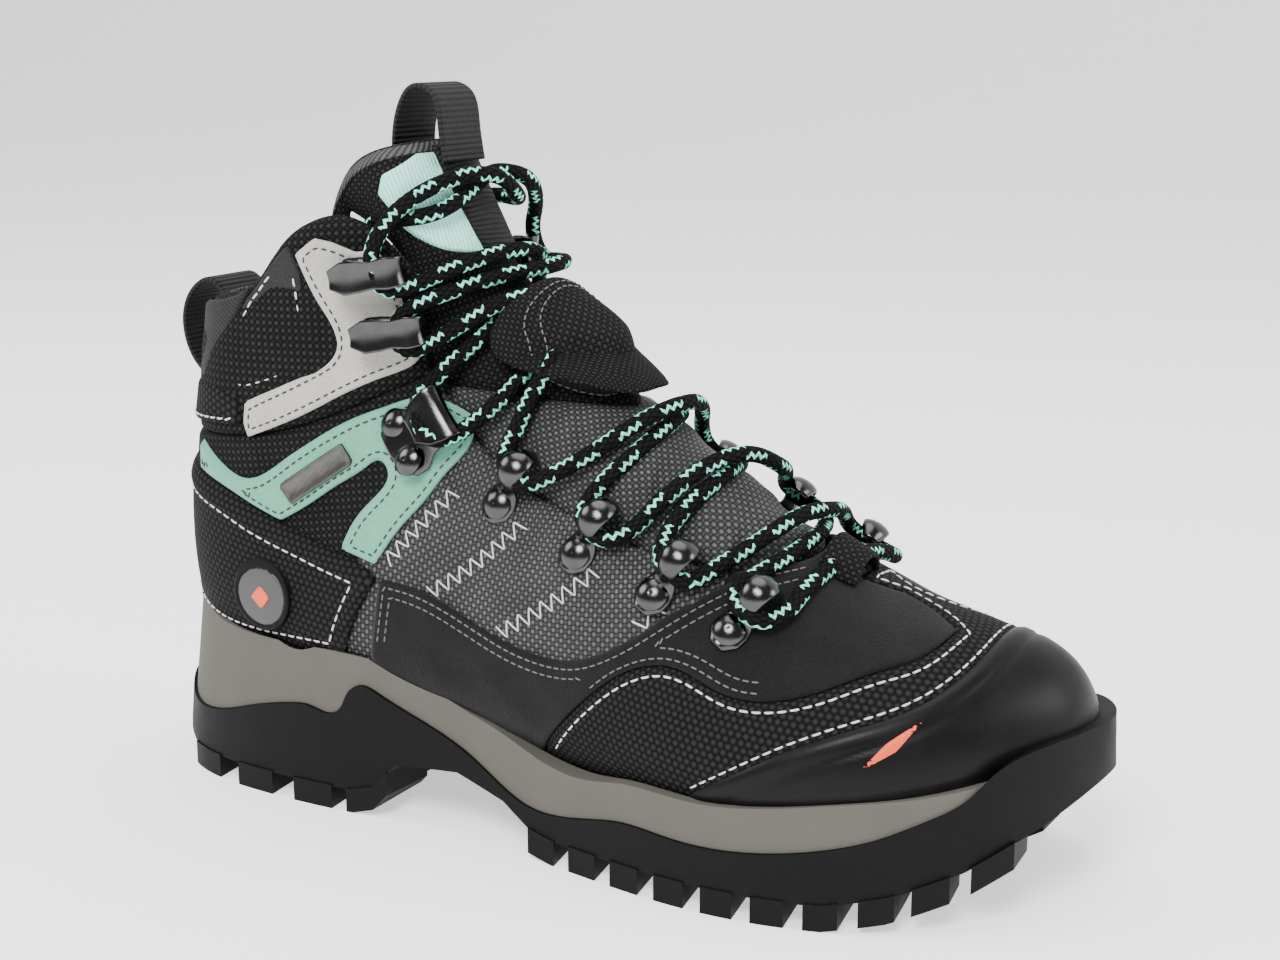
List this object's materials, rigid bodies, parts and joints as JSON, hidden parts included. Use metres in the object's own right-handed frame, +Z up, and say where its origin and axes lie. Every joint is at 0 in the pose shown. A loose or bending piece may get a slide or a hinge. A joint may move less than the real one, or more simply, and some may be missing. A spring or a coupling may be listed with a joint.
{
  "type": "hiking boot",
  "caption": "Mid-height laced hiking boot for the right foot, with a lugged sole, a cushioned midsole, a padded collar and tongue, lace rings, hooks and pull loops.",
  "frame": {"origin": "on the ground, at the middle of the boot's bounding box seen from above", "axes": "+X to the toe, +Y to the inner side of the foot, +Z up"},
  "size_m": [0.2814, 0.102, 0.2005],
  "materials": {
    "sole_rubber": "matte black moulded rubber, lightly worn at the lugs",
    "midsole_foam": "warm grey moulded EVA foam, fine grain",
    "board": "fibreboard",
    "shank_plastic": "stiff moulded plastic",
    "footbed_foam": "black foam insole with a woven top",
    "stiffener": "thermoplastic sheet",
    "lining_mesh": "dark grey knitted mesh",
    "collar_foam": "foam padding",
    "rib_knit": "dark grey ribbed knit with pale flecks",
    "black_mesh": "black padded mesh",
    "ballistic_weave": "grey and black basket weave with a slight metallic sheen",
    "suede_charcoal": "charcoal nubuck, fine grain, double stitched",
    "suede_mint": "mint suede with dark stitching",
    "suede_pale": "pale warm grey suede with dark stitching",
    "black_overlay": "black textured synthetic leather with pale stitching",
    "cap_rubber": "matte black rubber toe cap with a satin edge",
    "webbing_black": "black ribbed webbing",
    "ribbon_mint": "mint ribbed ribbon",
    "gunmetal": "polished dark gunmetal",
    "plate_metal": "dark stamped metal",
    "badge_rubber": "moulded charcoal rubber badge",
    "lace_braid": "black round braid with mint flecks",
    "tip_plastic": "clear-coated black lace tip"
  },
  "bodies": {
    "boot": {"outsole": "sole_rubber", "shank": "shank_plastic", "midsole": "midsole_foam", "midsole_core": "midsole_foam", "lasting_board": "board", "heel_counter": "stiffener", "toe_puff": "stiffener", "lining": "lining_mesh", "collar_padding": "collar_foam", "collar_lining": "rib_knit", "vamp": "suede_charcoal", "ankle_collar": "black_mesh", "quarter_lateral": "ballistic_weave", "quarter_medial": "ballistic_weave", "heel_panel": "black_overlay", "mudguard_lateral": "suede_charcoal", "mudguard_medial": "suede_charcoal", "toe_overlay": "black_overlay", "toe_cap": "cap_rubber", "lower_overlay_lateral": "suede_mint", "lower_overlay_medial": "suede_mint", "ankle_overlay_lateral": "suede_pale", "ankle_overlay_medial": "suede_pale", "backstay": "webbing_black", "heel_strap": "black_overlay", "side_plate": "plate_metal", "heel_badge": "badge_rubber", "tongue": "black_mesh", "tongue_patch": "black_mesh", "tongue_band": "ribbon_mint", "tongue_webbing": "webbing_black", "tongue_loop": "webbing_black", "heel_loop": "webbing_black", "lace_rings_lateral": "gunmetal", "lock_hook_lateral": "gunmetal", "top_hooks_lateral": "gunmetal", "rivets_lateral": "gunmetal", "lace_rings_medial": "gunmetal", "lock_hook_medial": "gunmetal", "top_hooks_medial": "gunmetal", "rivets_medial": "gunmetal", "lace_keeper": "webbing_black", "lace": "lace_braid", "lace_tips": "tip_plastic"},
    "insole": {"footbed": "footbed_foam"}
  },
  "joints": [
    {"name": "insole_lift", "type": "hinge", "parent": "boot", "child": "insole", "pos_m": [0.1284, 0, 0.0377], "axis": [0, 1, 0], "range_deg": [0, 6]}
  ]
}
